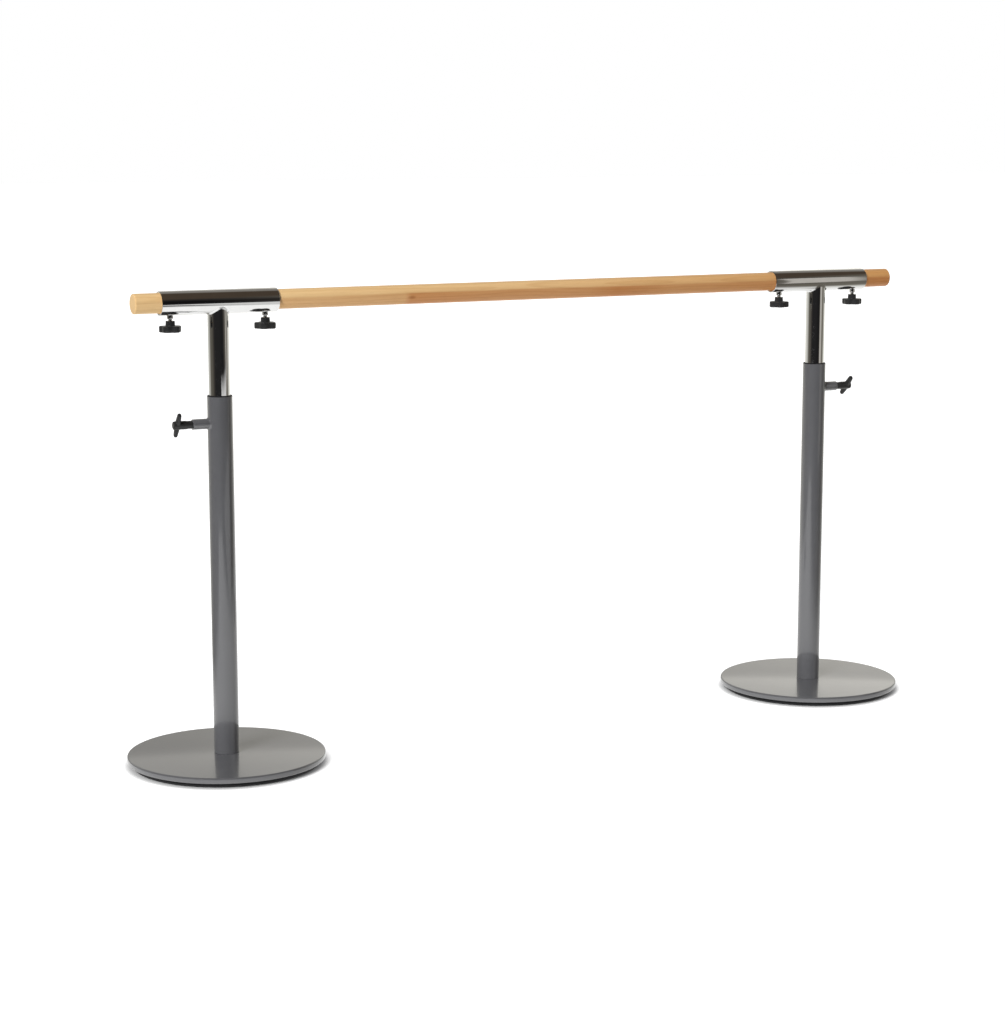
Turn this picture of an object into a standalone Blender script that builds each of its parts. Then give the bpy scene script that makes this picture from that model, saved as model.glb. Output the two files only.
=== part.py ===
"""Free-standing barre for ballet and pilates, adjustable in height.

A round wooden barre lies in two chromed sleeves. Each sleeve is welded on a chromed
inner post, which telescopes in a painted outer post on a heavy round base plate. Two
star knobs under each sleeve clamp the barre, and a wing knob on each outer post clamps
the inner post at its height.

Metres, +Z up. The origin is on the floor, midway between the two posts. The barre
runs along X. The left stand is at -X and the right stand is at +X.
"""
import math

import bmesh
import bpy
from mathutils import Matrix, Vector

# Layout: how far the barre stands out of the sleeves, and how far it is off centre
BARRE_OVERHANG = 0.072
BARRE_SHIFT = 0.009

# Clearances
SEAT_GAP = 0.0003
THREAD_GAP = 0.0003
SLIDE_GAP = 0.0003
BOLT_HOLE_GAP = 0.0005

# Chamfer on the ends of the screws
SCREW_CHAMFER = 0.0006

# Barre
BARRE_LENGTH = 2.134
BARRE_DIAMETER = 0.0476
BARRE_END_ROUND = 0.0025

# Sleeve that holds the barre
SLEEVE_LENGTH = 0.292
SLEEVE_DIAMETER = 0.0572
SLEEVE_WALL = 0.0036
SLEEVE_EDGE = 0.0006

# Barre clamp under the sleeve: boss, pressure pad, screw and star knob
CLAMP_SPACING = 0.237
CLAMP_SCREW_DIAMETER = 0.010
CLAMP_BOSS_DIAMETER = 0.0154
CLAMP_BOSS_DROP = 0.0075
CLAMP_PAD_LENGTH = 0.0058
CLAMP_NECK = 0.0052
STAR_DIAMETER = 0.053
STAR_LOBES = 5
STAR_VALLEY = 0.0048
STAR_VALLEY_SHARPNESS = 1.5
STAR_THICKNESS = 0.0150
STAR_EDGE = 0.0024
STAR_HUB_DIAMETER = 0.0225
STAR_HUB_TOP_DIAMETER = 0.0212
STAR_HUB_HEIGHT = 0.0115
STAR_END_WALL = 0.0060

# Inner post
INNER_POST_DIAMETER = 0.0508
INNER_POST_WALL = 0.0020
INNER_POST_EXPOSED = 0.1948
INNER_POST_INSERTION = 0.4000
GLIDE_FLANGE = 0.0080
GLIDE_SPIGOT = 0.0220
GLIDE_VENT_DIAMETER = 0.0120

# Outer post
OUTER_POST_DIAMETER = 0.0603
OUTER_POST_WALL = 0.0029
OUTER_POST_HEIGHT = 0.8660
BUSH_DEPTH = 0.0450
BUSH_LIP = 0.0020
BUSH_LIP_INSET = 0.0005

# Height lock on the outer post: boss, pressure pad, screw and wing knob
LOCK_BELOW_BUSH = 0.0190
LOCK_SCREW_DIAMETER = 0.0120
LOCK_BOSS_DIAMETER = 0.0250
LOCK_BOSS_LENGTH = 0.0400
LOCK_BOSS_EDGE = 0.0010
LOCK_PAD_LENGTH = 0.0100
LOCK_NECK = 0.0135
WING_HUB_DIAMETER = 0.0204
WING_HUB_LENGTH = 0.0340
WING_HUB_CROWN = 0.0030
WING_HUB_CHAMFER = 0.0010
WING_END_WALL = 0.0120
WING_SPAN = 0.0690
WING_ROOT_WIDTH = 0.0170
WING_TIP_WIDTH = 0.0115
WING_ROOT_THICKNESS = 0.0120
WING_TIP_THICKNESS = 0.0080
WING_SETBACK = 0.0110
WING_SQUARENESS = 0.6
WING_TIP_BLUNTNESS = 0.04
WING_MID_STATION = 0.3
WING_TIP_STATIONS = (0.0, 0.13, 0.4, 1.0)

# Base
PLATE_DIAMETER = 0.4784
PLATE_THICKNESS = 0.0135
PLATE_TOP_ROUND = 0.0040
PLATE_BOTTOM_ROUND = 0.0020
RECESS_DEPTH = 0.0060
RECESS_MARGIN = 0.0015
RING_INSET = 0.0140
RING_WIDTH = 0.0220
RING_HEIGHT = 0.0122
RING_EDGE = 0.0020
BOLT_DIAMETER = 0.0120
BOLT_HEAD_WIDTH = 0.0190
BOLT_HEAD_HEIGHT = 0.0075
BOLT_CHAMFER = 0.0010
BOLT_GRIP = 0.0200
WASHER_DIAMETER = 0.0240
WASHER_THICKNESS = 0.0025
PLUG_SPARE = 0.0050

# How the knobs stand when the barre is clamped, in degrees
WING_TURN = {"left": 32.0, "right": 43.0}
STAR_TURN = {"left_outer": 8.0, "left_inner": 22.0, "right_inner": 36.0, "right_outer": 57.0}

# Facets
PLATE_SEGMENTS = 60
TUBE_SEGMENTS = 36
BOSS_SEGMENTS = 20
SCREW_SEGMENTS = 12
STAR_SEGMENTS = 40
WING_SEGMENTS = 12
SHARP_ANGLE = math.radians(30.0)

# The stands follow the barre's length
POST_SPACING = BARRE_LENGTH - 2 * BARRE_OVERHANG - SLEEVE_LENGTH

# Heights, from the floor up
PLATE_BOTTOM = RING_HEIGHT + SEAT_GAP
PLATE_TOP = PLATE_BOTTOM + PLATE_THICKNESS
POST_FOOT = PLATE_TOP + SEAT_GAP
POST_TOP = POST_FOOT + OUTER_POST_HEIGHT
LOCK_HEIGHT = POST_TOP - BUSH_DEPTH - LOCK_BELOW_BUSH
SLEEVE_BOTTOM = POST_TOP + INNER_POST_EXPOSED
SLEEVE_AXIS = SLEEVE_BOTTOM + SLEEVE_DIAMETER / 2

# Radii that several pieces share
SLEEVE_RADIUS = SLEEVE_DIAMETER / 2
SLEEVE_BORE = SLEEVE_RADIUS - SLEEVE_WALL
BARRE_RADIUS = BARRE_DIAMETER / 2
INNER_RADIUS = INNER_POST_DIAMETER / 2
OUTER_RADIUS = OUTER_POST_DIAMETER / 2
OUTER_BORE = OUTER_RADIUS - OUTER_POST_WALL
CLAMP_SCREW_RADIUS = CLAMP_SCREW_DIAMETER / 2
LOCK_SCREW_RADIUS = LOCK_SCREW_DIAMETER / 2

# The clamp screws press the barre up against the top of the sleeve's bore
BARRE_AXIS = SLEEVE_AXIS + SLEEVE_BORE - BARRE_RADIUS - SEAT_GAP


def clear_scene():
    for item in list(bpy.data.objects):
        bpy.data.objects.remove(item, do_unlink=True)


def make_material(name, color, roughness, metallic):
    material = bpy.data.materials.new(name)
    material.use_nodes = True
    shader = material.node_tree.nodes["Principled BSDF"]
    shader.inputs["Base Color"].default_value = (*color, 1.0)
    shader.inputs["Roughness"].default_value = roughness
    shader.inputs["Metallic"].default_value = metallic
    return material


FINISHES = {
    "wood": ((0.62, 0.40, 0.19), 0.45, 0.0),
    "chrome": ((0.80, 0.80, 0.81), 0.06, 1.0),
    "paint": ((0.085, 0.085, 0.095), 0.25, 0.0),
    "steel": ((0.45, 0.45, 0.46), 0.35, 1.0),
    "brass": ((0.60, 0.42, 0.16), 0.30, 1.0),
    "plastic": ((0.010, 0.010, 0.011), 0.35, 0.0),
    "nylon": ((0.015, 0.015, 0.016), 0.45, 0.0),
    "rubber": ((0.012, 0.012, 0.013), 0.80, 0.0),
}


def circle(radius, height, segments):
    """Points of a circle about the local Z axis."""
    step = 2 * math.pi / segments
    return [Vector((radius * math.cos(i * step), radius * math.sin(i * step), height))
            for i in range(segments)]


def loft(rings, closed=False):
    """Closed mesh through rings of equal count; an open loft has flat end caps."""
    mesh = bmesh.new()
    loops = [[mesh.verts.new(point) for point in ring] for ring in rings]
    pairs = list(zip(loops, loops[1:]))
    if closed:
        pairs.append((loops[-1], loops[0]))
    else:
        mesh.faces.new(loops[0])
        mesh.faces.new(loops[-1])
    for low, high in pairs:
        for i, vertex in enumerate(low):
            j = (i + 1) % len(low)
            mesh.faces.new((vertex, low[j], high[j], high[i]))
    bmesh.ops.recalc_face_normals(mesh, faces=mesh.faces)
    return mesh


def turned(profile, segments, closed=False):
    """Solid turned about the local Z axis from (radius, height) points."""
    return loft([circle(radius, height, segments) for radius, height in profile], closed)


def tube(outer, inner, bottom, top, segments, edge=0.0):
    """Tube about the local Z axis, with an optional chamfer on its outer edges."""
    profile = [(inner, bottom), (outer - edge, bottom)]
    if edge:
        profile += [(outer, bottom + edge), (outer, top - edge)]
    profile += [(outer - edge, top), (inner, top)]
    return turned(profile, segments, closed=True)


def rod(radius, bottom, top, segments, edge=0.0):
    """Solid round bar about the local Z axis, with an optional chamfer on its edges."""
    profile = [(radius - edge, bottom), (radius - edge, top)]
    if edge:
        profile[1:1] = [(radius, bottom + edge), (radius, top - edge)]
    return turned(profile, segments)


def arc(center_r, center_z, radius, start, end, steps):
    """Profile points on an arc, its angles in degrees from the radial direction."""
    points = []
    for i in range(steps + 1):
        angle = math.radians(start + (end - start) * i / steps)
        points.append((center_r + radius * math.cos(angle), center_z + radius * math.sin(angle)))
    return points


def place(name, mesh, finish, location=(0, 0, 0), rotation=(0, 0, 0)):
    """Turn a bmesh into a named object with its finish."""
    data = bpy.data.meshes.new(name)
    mesh.to_mesh(data)
    mesh.free()
    item = bpy.data.objects.new(name, data)
    bpy.context.scene.collection.objects.link(item)
    item.location = location
    item.rotation_euler = rotation
    data.materials.append(make_material(name, *FINISHES[finish]))
    return item


def combine(item, tool_mesh, operation, location=(0, 0, 0), rotation=(0, 0, 0)):
    """Cut a bmesh from an object, or join it on, with an exact Boolean."""
    tool = place(item.name + "_tool", tool_mesh, "steel", location, rotation)
    modifier = item.modifiers.new("combine", "BOOLEAN")
    modifier.operation = operation
    modifier.solver = "EXACT"
    modifier.object = tool
    bpy.context.view_layer.update()
    depsgraph = bpy.context.evaluated_depsgraph_get()
    result = bpy.data.meshes.new_from_object(item.evaluated_get(depsgraph))
    item.modifiers.remove(modifier)
    item.data = result
    bpy.data.objects.remove(tool, do_unlink=True)
    keep_own_material(item)
    return item


def keep_own_material(item):
    """Leave an object with its first material alone."""
    own = item.data.materials[0]
    item.data.materials.clear()
    item.data.materials.append(own)
    for face in item.data.polygons:
        face.material_index = 0


def finish_mesh(item):
    item.data.shade_smooth()
    item.data.set_sharp_from_angle(angle=SHARP_ANGLE)


def cope_rise(branch_radius, main_radius):
    """How far a round branch climbs beside the round tube that it is coped to."""
    return main_radius - math.sqrt(max(main_radius ** 2 - branch_radius ** 2, 0.0))


def along(direction):
    """Rotation that lays the local Z axis along +X or -X."""
    return (0.0, direction * math.pi / 2, 0.0)


def sleeve_cutter():
    """Round bar of the sleeve's outside, for the pieces coped to it."""
    return rod(SLEEVE_RADIUS + SEAT_GAP, -SLEEVE_LENGTH / 2, SLEEVE_LENGTH / 2, TUBE_SEGMENTS)


def make_barre():
    end = BARRE_LENGTH / 2
    round_center = BARRE_RADIUS - BARRE_END_ROUND
    profile = arc(round_center, -end + BARRE_END_ROUND, BARRE_END_ROUND, -90, 0, 2)
    profile += arc(round_center, end - BARRE_END_ROUND, BARRE_END_ROUND, 0, 90, 2)
    mesh = turned(profile, TUBE_SEGMENTS)
    return place("barre", mesh, "wood", (BARRE_SHIFT, 0, BARRE_AXIS), along(1))


def make_sleeve(side, post_x):
    half = SLEEVE_LENGTH / 2
    outer, bore, edge = SLEEVE_RADIUS, SLEEVE_BORE, SLEEVE_EDGE
    profile = [(bore, -half), (outer - edge, -half), (outer, -half + edge)]
    profile += [(radius, -height) for radius, height in reversed(profile)]
    mesh = turned(profile, TUBE_SEGMENTS, closed=True)
    sleeve = place(side + "_sleeve", mesh, "chrome", (post_x, 0, SLEEVE_AXIS), along(1))
    hole_radius = CLAMP_SCREW_RADIUS + THREAD_GAP
    for clamp_x in (-CLAMP_SPACING / 2, CLAMP_SPACING / 2):
        hole = rod(hole_radius, -2 * SLEEVE_RADIUS, 0, SCREW_SEGMENTS)
        combine(sleeve, hole, "DIFFERENCE", (post_x + clamp_x, 0, SLEEVE_AXIS))
    return sleeve


def make_clamp_boss(name, x, post_x):
    radius = CLAMP_BOSS_DIAMETER / 2
    top = SLEEVE_BOTTOM + cope_rise(radius, SLEEVE_RADIUS)
    mesh = tube(radius, CLAMP_SCREW_RADIUS + THREAD_GAP, SLEEVE_BOTTOM - CLAMP_BOSS_DROP - top, 0,
                BOSS_SEGMENTS)
    boss = place(name, mesh, "chrome", (x, 0, top))
    return combine(boss, sleeve_cutter(), "DIFFERENCE", (post_x, 0, SLEEVE_AXIS), along(1))


def star_outline(height, inset):
    """Lobed outline of the star knob about the local Z axis, drawn in by an inset."""
    points = []
    for i in range(STAR_SEGMENTS):
        angle = 2 * math.pi * i / STAR_SEGMENTS
        valley = (0.5 - 0.5 * math.cos(STAR_LOBES * angle)) ** STAR_VALLEY_SHARPNESS
        radius = STAR_DIAMETER / 2 - STAR_VALLEY * valley - inset
        points.append(Vector((radius * math.cos(angle), radius * math.sin(angle), height)))
    return points


def star_knob_mesh():
    """Star knob below the origin, its hub up and its blind socket open at the top."""
    head_top = -STAR_HUB_HEIGHT
    head_bottom = head_top - STAR_THICKNESS
    hub = STAR_HUB_DIAMETER / 2
    socket = CLAMP_SCREW_RADIUS + THREAD_GAP
    socket_end = head_bottom + STAR_END_WALL
    rings = [circle(socket, socket_end, STAR_SEGMENTS), circle(socket, 0, STAR_SEGMENTS)]
    rings += [circle(STAR_HUB_TOP_DIAMETER / 2, 0, STAR_SEGMENTS), circle(hub, head_top, STAR_SEGMENTS)]
    rings += [star_outline(head_top, STAR_EDGE), star_outline(head_top - STAR_EDGE, 0)]
    rings += [star_outline(head_bottom + STAR_EDGE, 0), star_outline(head_bottom, STAR_EDGE)]
    return loft(rings)


def make_clamp(name, x, post_x):
    """Clamp under the sleeve: boss, pad, screw and star knob, from the top down."""
    boss = make_clamp_boss(name + "_clamp_boss", x, post_x)
    pad_top = BARRE_AXIS - BARRE_RADIUS - SEAT_GAP
    pad_end = pad_top - CLAMP_PAD_LENGTH
    pad = place(name + "_clamp_pad", rod(CLAMP_SCREW_RADIUS, -CLAMP_PAD_LENGTH, 0, SCREW_SEGMENTS),
                "brass", (x, 0, pad_top))
    knob_top = SLEEVE_BOTTOM - CLAMP_BOSS_DROP - CLAMP_NECK
    socket_end = knob_top - STAR_HUB_HEIGHT - STAR_THICKNESS + STAR_END_WALL
    screw_top = pad_end - SEAT_GAP
    screw_end = socket_end + SEAT_GAP - screw_top
    screw_mesh = rod(CLAMP_SCREW_RADIUS, screw_end, 0, SCREW_SEGMENTS, SCREW_CHAMFER)
    screw = place(name + "_clamp_screw", screw_mesh, "chrome", (x, 0, screw_top))
    knob = place(name + "_clamp_knob", star_knob_mesh(), "plastic", (x, 0, knob_top),
                 (0, 0, math.radians(STAR_TURN[name])))
    return boss, pad, screw, knob


def make_inner_post(side, post_x):
    top = SLEEVE_BOTTOM + cope_rise(INNER_RADIUS, SLEEVE_RADIUS)
    bottom = POST_TOP - INNER_POST_INSERTION
    mesh = tube(INNER_RADIUS, INNER_RADIUS - INNER_POST_WALL, bottom - SLEEVE_BOTTOM, top - SLEEVE_BOTTOM,
                TUBE_SEGMENTS)
    post = place(side + "_inner_post", mesh, "chrome", (post_x, 0, SLEEVE_BOTTOM))
    return combine(post, sleeve_cutter(), "DIFFERENCE", (post_x, 0, SLEEVE_AXIS), along(1))


def make_bottom_glide(side, post_x):
    """Flanged plug that centres the inner post's lower end in the outer post."""
    flange = OUTER_BORE - SLIDE_GAP
    spigot = INNER_RADIUS - INNER_POST_WALL - SEAT_GAP
    vent = GLIDE_VENT_DIAMETER / 2
    profile = [(vent, -GLIDE_FLANGE), (flange, -GLIDE_FLANGE), (flange, 0)]
    profile += [(spigot, 0), (spigot, GLIDE_SPIGOT), (vent, GLIDE_SPIGOT)]
    mesh = turned(profile, TUBE_SEGMENTS, closed=True)
    top = POST_TOP - INNER_POST_INSERTION - SEAT_GAP
    return place(side + "_bottom_glide", mesh, "nylon", (post_x, 0, top))


def make_outer_post(side, post_x, outward):
    mesh = tube(OUTER_RADIUS, OUTER_BORE, 0, OUTER_POST_HEIGHT, TUBE_SEGMENTS)
    post = place(side + "_outer_post", mesh, "paint", (post_x, 0, POST_FOOT))
    hole = rod(LOCK_SCREW_RADIUS + THREAD_GAP, 0, 2 * OUTER_RADIUS, BOSS_SEGMENTS)
    return combine(post, hole, "DIFFERENCE", (post_x, 0, LOCK_HEIGHT), along(outward))


def make_guide_bush(side, post_x):
    """Thin lining between the posts, with a lip that rests on the outer post."""
    bore = INNER_RADIUS + SLIDE_GAP
    body = OUTER_BORE - SEAT_GAP
    lip = OUTER_RADIUS - BUSH_LIP_INSET
    profile = [(bore, -BUSH_DEPTH), (body, -BUSH_DEPTH), (body, SEAT_GAP), (lip, SEAT_GAP)]
    profile += [(lip, BUSH_LIP + SEAT_GAP), (bore, BUSH_LIP + SEAT_GAP)]
    mesh = turned(profile, TUBE_SEGMENTS, closed=True)
    return place(side + "_guide_bush", mesh, "nylon", (post_x, 0, POST_TOP))


def make_lock_boss(side, post_x, outward):
    start = OUTER_RADIUS - cope_rise(LOCK_BOSS_DIAMETER / 2, OUTER_RADIUS)
    end = OUTER_RADIUS + LOCK_BOSS_LENGTH
    outer, bore, edge = LOCK_BOSS_DIAMETER / 2, LOCK_SCREW_RADIUS + THREAD_GAP, LOCK_BOSS_EDGE
    profile = [(bore, start), (outer, start), (outer, end - edge), (outer - edge, end), (bore, end)]
    mesh = turned(profile, BOSS_SEGMENTS, closed=True)
    boss = place(side + "_lock_boss", mesh, "paint", (post_x, 0, LOCK_HEIGHT), along(outward))
    cutter = rod(OUTER_RADIUS + SEAT_GAP, -LOCK_BOSS_DIAMETER, LOCK_BOSS_DIAMETER, TUBE_SEGMENTS)
    return combine(boss, cutter, "DIFFERENCE", (post_x, 0, LOCK_HEIGHT))


def squared(value):
    """Sine or cosine bent so that it draws a circle as a rounded square."""
    return math.copysign(abs(value) ** WING_SQUARENESS, value)


def wing_section(station):
    """Rounded section of the wings at a distance along their span."""
    half_span = WING_SPAN / 2
    share = abs(station) / half_span
    width = WING_ROOT_WIDTH + (WING_TIP_WIDTH - WING_ROOT_WIDTH) * share
    thickness = WING_ROOT_THICKNESS + (WING_TIP_THICKNESS - WING_ROOT_THICKNESS) * share
    round_start = half_span - WING_TIP_WIDTH / 2
    if abs(station) > round_start:
        depth = (abs(station) - round_start) / (half_span - round_start)
        narrowing = math.sqrt(max(1 - depth ** 2, WING_TIP_BLUNTNESS))
        width *= narrowing
        thickness *= 0.5 + 0.5 * narrowing
    points = []
    for i in range(WING_SEGMENTS):
        angle = 2 * math.pi * i / WING_SEGMENTS
        across = squared(math.cos(angle)) * width / 2
        up = squared(math.sin(angle)) * thickness / 2
        points.append(Vector((station, across, up)))
    return points


def wing_knob_hub():
    """Crowned hub of the wing knob, its end towards the post at the origin."""
    radius = WING_HUB_DIAMETER / 2
    crown_center = radius - WING_HUB_CROWN
    profile = [(radius - WING_HUB_CHAMFER, 0), (radius, WING_HUB_CHAMFER)]
    profile += arc(crown_center, WING_HUB_LENGTH - WING_HUB_CROWN, WING_HUB_CROWN, 0, 90, 3)
    return turned(profile, BOSS_SEGMENTS)


def make_wing_knob(name, location, rotation):
    half_span = WING_SPAN / 2
    tip = WING_TIP_WIDTH / 2
    stations = [half_span - tip * share for share in WING_TIP_STATIONS]
    stations.append(WING_MID_STATION * half_span)
    stations = [-station for station in stations] + [0.0] + stations[::-1]
    wings = loft([wing_section(station) for station in stations])
    wing_height = WING_HUB_LENGTH - WING_SETBACK
    bmesh.ops.translate(wings, vec=(0, 0, wing_height), verts=wings.verts)
    knob = place(name, wing_knob_hub(), "plastic", location, rotation)
    combine(knob, wings, "UNION", location, rotation)
    socket_end = WING_HUB_LENGTH - WING_END_WALL
    socket = rod(LOCK_SCREW_RADIUS + THREAD_GAP, -LOCK_NECK, socket_end, SCREW_SEGMENTS)
    return combine(knob, socket, "DIFFERENCE", location, rotation)


def make_lock(side, post_x, outward):
    """Height lock: boss, pad, screw and wing knob, from the post outwards."""
    boss = make_lock_boss(side, post_x, outward)
    pad_start = INNER_RADIUS + SEAT_GAP
    screw_start = pad_start + LOCK_PAD_LENGTH + SEAT_GAP
    knob_start = OUTER_RADIUS + LOCK_BOSS_LENGTH + LOCK_NECK
    socket_end = knob_start + WING_HUB_LENGTH - WING_END_WALL
    pad = place(side + "_lock_pad", rod(LOCK_SCREW_RADIUS, 0, LOCK_PAD_LENGTH, SCREW_SEGMENTS),
                "brass", (post_x + outward * pad_start, 0, LOCK_HEIGHT), along(outward))
    screw_end = socket_end - SEAT_GAP - screw_start
    screw_mesh = rod(LOCK_SCREW_RADIUS, 0, screw_end, SCREW_SEGMENTS, SCREW_CHAMFER)
    screw = place(side + "_lock_screw", screw_mesh, "chrome",
                  (post_x + outward * screw_start, 0, LOCK_HEIGHT), along(outward))
    upright = Matrix.Rotation(math.radians(WING_TURN[side]), 4, "X")
    turn = upright @ Matrix.Rotation(outward * math.pi / 2, 4, "Y")
    knob_place = (post_x + outward * knob_start, 0, LOCK_HEIGHT)
    knob = make_wing_knob(side + "_lock_knob", knob_place, turn.to_euler())
    return boss, pad, screw, knob


def make_base_plate(side, post_x):
    radius = PLATE_DIAMETER / 2
    hole = BOLT_DIAMETER / 2 + BOLT_HOLE_GAP
    recess = WASHER_DIAMETER / 2 + RECESS_MARGIN
    top_center = PLATE_THICKNESS - PLATE_TOP_ROUND
    profile = [(hole, RECESS_DEPTH), (recess, RECESS_DEPTH), (recess, 0)]
    profile += arc(radius - PLATE_BOTTOM_ROUND, PLATE_BOTTOM_ROUND, PLATE_BOTTOM_ROUND, -90, 0, 1)
    profile += arc(radius - PLATE_TOP_ROUND, top_center, PLATE_TOP_ROUND, 0, 90, 2)
    profile += [(hole, PLATE_THICKNESS)]
    mesh = turned(profile, PLATE_SEGMENTS, closed=True)
    return place(side + "_base_plate", mesh, "paint", (post_x, 0, PLATE_BOTTOM))


def make_foot_ring(side, post_x):
    outer = PLATE_DIAMETER / 2 - RING_INSET
    inner = outer - RING_WIDTH
    profile = [(inner, RING_HEIGHT), (inner, 0), (outer - RING_EDGE, 0)]
    profile += [(outer, RING_EDGE), (outer, RING_HEIGHT)]
    mesh = turned(profile, PLATE_SEGMENTS, closed=True)
    return place(side + "_foot_ring", mesh, "rubber", (post_x, 0, 0))


def hexagon(height, inset, segments):
    """Hexagonal outline about the local Z axis with as many points as a circle."""
    points = []
    for i in range(segments):
        angle = 2 * math.pi * i / segments
        to_flat = (angle + math.pi / 6) % (math.pi / 3) - math.pi / 6
        radius = (BOLT_HEAD_WIDTH / 2 - inset) / math.cos(to_flat)
        points.append(Vector((radius * math.cos(angle), radius * math.sin(angle), height)))
    return points


def make_base_bolt(side, post_x):
    """Hexagon bolt that holds the post on the plate from below, its head at the origin."""
    seat = PLATE_BOTTOM + RECESS_DEPTH - SEAT_GAP - WASHER_THICKNESS - SEAT_GAP
    end = POST_FOOT + BOLT_GRIP - seat
    radius = BOLT_DIAMETER / 2
    head = BOLT_HEAD_HEIGHT
    rings = [hexagon(-head, BOLT_CHAMFER, SCREW_SEGMENTS), hexagon(BOLT_CHAMFER - head, 0, SCREW_SEGMENTS)]
    rings += [hexagon(0, 0, SCREW_SEGMENTS), circle(radius, 0, SCREW_SEGMENTS)]
    rings += [circle(radius, end - BOLT_CHAMFER, SCREW_SEGMENTS)]
    rings += [circle(radius - BOLT_CHAMFER, end, SCREW_SEGMENTS)]
    return place(side + "_base_bolt", loft(rings), "steel", (post_x, 0, seat))


def make_base_washer(side, post_x):
    top = PLATE_BOTTOM + RECESS_DEPTH - SEAT_GAP
    mesh = tube(WASHER_DIAMETER / 2, BOLT_DIAMETER / 2 + SEAT_GAP, -WASHER_THICKNESS, 0, BOSS_SEGMENTS)
    return place(side + "_base_washer", mesh, "steel", (post_x, 0, top))


def make_post_plug(side, post_x):
    """Threaded plug in the foot of the outer post, which the base bolt pulls down."""
    radius = OUTER_BORE - SEAT_GAP
    hole = BOLT_DIAMETER / 2 + THREAD_GAP
    mesh = tube(radius, hole, 0, BOLT_GRIP + PLUG_SPARE, TUBE_SEGMENTS)
    return place(side + "_post_plug", mesh, "steel", (post_x, 0, POST_FOOT))


def make_joint(name, location, parent=None):
    """Empty on a joint's axis, which carries the pieces that move together."""
    empty = bpy.data.objects.new(name, None)
    empty.empty_display_size = 0.05
    bpy.context.scene.collection.objects.link(empty)
    empty.location = location
    bpy.context.view_layer.update()
    if parent:
        carry(parent, empty)
    return empty


def carry(joint, *items):
    """Parent objects to a joint's empty, where they are."""
    bpy.context.view_layer.update()
    for item in items:
        item.parent = joint
        item.matrix_parent_inverse = joint.matrix_world.inverted()
    bpy.context.view_layer.update()


def make_stand(side, post_x, outward, stand, upright):
    """One stand: its base and outer post, and the inner post and sleeve that rise."""
    base_makers = (make_foot_ring, make_base_plate, make_base_bolt, make_base_washer, make_post_plug)
    carry(stand, *[make(side, post_x) for make in base_makers])
    carry(stand, make_outer_post(side, post_x, outward), make_guide_bush(side, post_x))
    boss, pad, screw, knob = make_lock(side, post_x, outward)
    carry(stand, boss)
    pad_joint = make_joint(side + "_lock_travel", pad.location, stand)
    knob_joint = make_joint(side + "_lock_turn", knob.location, pad_joint)
    carry(pad_joint, pad)
    carry(knob_joint, screw, knob)
    carry(upright, *[make(side, post_x) for make in (make_inner_post, make_bottom_glide, make_sleeve)])
    for place_name, direction in (("outer", outward), ("inner", -outward)):
        name = side + "_" + place_name
        clamp_x = post_x + direction * CLAMP_SPACING / 2
        boss, pad, screw, knob = make_clamp(name, clamp_x, post_x)
        carry(upright, boss)
        pad_joint = make_joint(name + "_clamp_travel", pad.location, upright)
        knob_joint = make_joint(name + "_clamp_turn", knob.location, pad_joint)
        carry(pad_joint, pad)
        carry(knob_joint, screw, knob)


def main():
    clear_scene()
    left_x, right_x = -POST_SPACING / 2, POST_SPACING / 2
    left_stand = make_joint("left_stand", (left_x, 0, 0))
    left_upright = make_joint("left_height", (left_x, 0, POST_TOP), left_stand)
    barre_slide = make_joint("barre_slide", (BARRE_SHIFT, 0, BARRE_AXIS), left_upright)
    right_upright = make_joint("right_slide", (right_x, 0, SLEEVE_AXIS), barre_slide)
    right_stand = make_joint("right_height", (right_x, 0, POST_TOP), right_upright)
    make_stand("left", left_x, -1, left_stand, left_upright)
    make_stand("right", right_x, 1, right_stand, right_upright)
    carry(barre_slide, make_barre())
    for item in bpy.data.objects:
        if item.type == "MESH":
            finish_mesh(item)


main()
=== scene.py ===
"""Looks of the free-standing barre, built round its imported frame.

Metres, +Z up, in the frame's own axes. Every piece that is remade here takes its size and
place from the frame's nodes, and rides on the body of the node that it stands for.
"""

import math

import bmesh
import bpy
from mathutils import Matrix, Vector


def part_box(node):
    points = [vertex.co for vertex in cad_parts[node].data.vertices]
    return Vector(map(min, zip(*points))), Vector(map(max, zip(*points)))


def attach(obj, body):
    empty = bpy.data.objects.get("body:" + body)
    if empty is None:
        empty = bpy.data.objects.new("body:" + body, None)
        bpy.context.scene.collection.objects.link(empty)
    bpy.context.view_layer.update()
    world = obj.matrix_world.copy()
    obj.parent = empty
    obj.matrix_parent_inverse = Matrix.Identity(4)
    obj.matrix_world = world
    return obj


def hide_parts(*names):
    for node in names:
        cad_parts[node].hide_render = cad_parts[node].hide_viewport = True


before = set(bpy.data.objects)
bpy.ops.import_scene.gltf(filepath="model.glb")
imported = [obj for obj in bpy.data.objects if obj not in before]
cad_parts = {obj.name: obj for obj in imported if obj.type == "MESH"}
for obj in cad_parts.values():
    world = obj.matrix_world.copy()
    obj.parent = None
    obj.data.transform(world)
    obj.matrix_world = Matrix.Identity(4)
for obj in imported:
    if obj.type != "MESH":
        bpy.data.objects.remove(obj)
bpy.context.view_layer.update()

SIDES = {"left": -1, "right": 1}

# Camera, fitted to the photograph; angles in degrees, lens and sensor in millimetres
CAMERA_PLACE = (-2.7742, -5.1855, 1.5131)
CAMERA_TILT = 80.703
CAMERA_YAW = -27.31
CAMERA_ROLL = -0.024
CAMERA_LENS = 82.05
CAMERA_SENSOR = 36.0

# Facets of the pieces that are remade
PLATE_SEGMENTS = 192
TUBE_SEGMENTS = 96
BOSS_SEGMENTS = 64
SCREW_SEGMENTS = 32
STAR_SEGMENTS = 160
ARC_STEPS = 5
SHARP_ANGLE = math.radians(35.0)

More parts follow.
